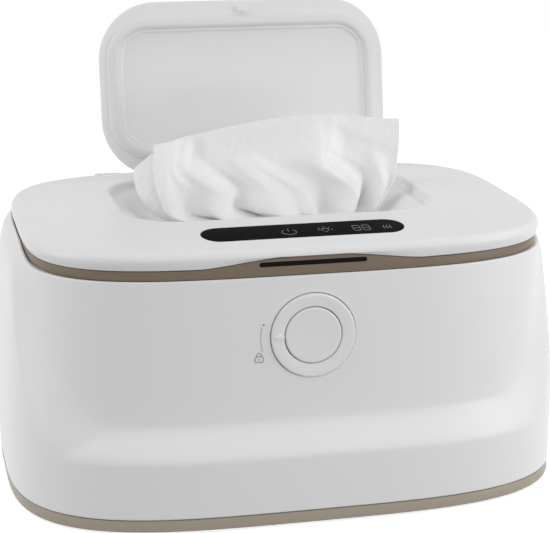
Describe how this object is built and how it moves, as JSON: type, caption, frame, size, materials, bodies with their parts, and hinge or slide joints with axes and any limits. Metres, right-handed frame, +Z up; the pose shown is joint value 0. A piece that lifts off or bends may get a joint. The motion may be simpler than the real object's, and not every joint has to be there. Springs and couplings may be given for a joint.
{
  "type": "baby wipe warmer",
  "caption": "Oval heated wipe box with flared lower body, hinged lid, flip cover over a wipe gate, touch strip, lock ring and push button, tub, heater and board inside.",
  "frame": {"origin": "on the resting plane under the centre of the base", "axes": "+Z up, front with the button towards -Y, +X to the right seen from the front"},
  "size_m": [0.2486, 0.185, 0.2047],
  "materials": {
    "white_shell": "satin white",
    "taupe_trim": "satin taupe",
    "dark_gloss": "glossy smoked black",
    "grey_plastic": "fine matt grey",
    "silicone": "soft matt",
    "foot_rubber": "matt",
    "steel": "plated",
    "aluminium_plate": "mill",
    "film": "smooth amber",
    "foam": "felted",
    "circuit_board": "solder resist",
    "wipe_cloth": "damp non-woven"
  },
  "bodies": {
    "base": {"outer_housing": "white_shell", "base_tray": "taupe_trim", "trim_frame": "taupe_trim", "front_window": "dark_gloss", "wipe_tub": "grey_plastic", "heater_plate": "aluminium_plate", "heating_film": "film", "insulation_pad": "foam", "temperature_sensor": "grey_plastic", "main_board": "circuit_board", "power_inlet": "dark_gloss", "lock_carrier": "grey_plastic", "button_spring": "steel", "hinge_pin_left": "steel", "hinge_pin_right": "steel", "lid_spring_left": "steel", "lid_spring_right": "steel", "rubber_foot_1": "foot_rubber", "rubber_foot_2": "foot_rubber", "rubber_foot_3": "foot_rubber", "rubber_foot_4": "foot_rubber", "base_screw_1": "steel", "base_screw_2": "steel", "base_screw_3": "steel", "base_screw_4": "steel", "board_screw_1": "steel", "board_screw_2": "steel"},
    "lid": {"lid_shell": "white_shell", "control_lens": "dark_gloss", "touch_board": "circuit_board", "lid_liner": "grey_plastic", "lid_gasket": "silicone", "wipe_gate": "silicone", "gate_frame": "grey_plastic", "latch_hook": "grey_plastic", "cover_pin_left": "steel", "cover_pin_right": "steel", "wipe_sheet": "wipe_cloth", "liner_screw_1": "steel", "liner_screw_2": "steel", "liner_screw_3": "steel", "liner_screw_4": "steel", "liner_screw_5": "steel", "liner_screw_6": "steel"},
    "cover": {"flip_cover": "white_shell", "cover_seal": "silicone"},
    "lock_turn": {"lock_ring": "white_shell"},
    "button": {"push_button": "white_shell", "latch_slider": "grey_plastic", "latch_screw": "steel"}
  },
  "joints": [
    {"name": "lid_hinge", "type": "hinge", "parent": "base", "child": "lid", "pos_m": [0, 0.087, 0.1163], "axis": [-1, 0, 0], "range_deg": [0, 90]},
    {"name": "cover_hinge", "type": "hinge", "parent": "lid", "child": "cover", "pos_m": [0, 0.047, 0.122], "axis": [-1, 0, 0], "range_deg": [-100, 6], "deforming": ["wipe_sheet"]},
    {"name": "lock_ring_turn", "type": "hinge", "parent": "base", "child": "lock_turn", "pos_m": [0, -0.0804, 0.0816], "axis": [0, 1, 0], "range_deg": [-20, 20]},
    {"name": "button_press", "type": "slide", "parent": "base", "child": "button", "axis": [0, 1, 0], "range_m": [0, 0.0025], "stiffness_N_per_m": 600, "springref_m": -0.001, "deforming": ["button_spring"]}
  ]
}
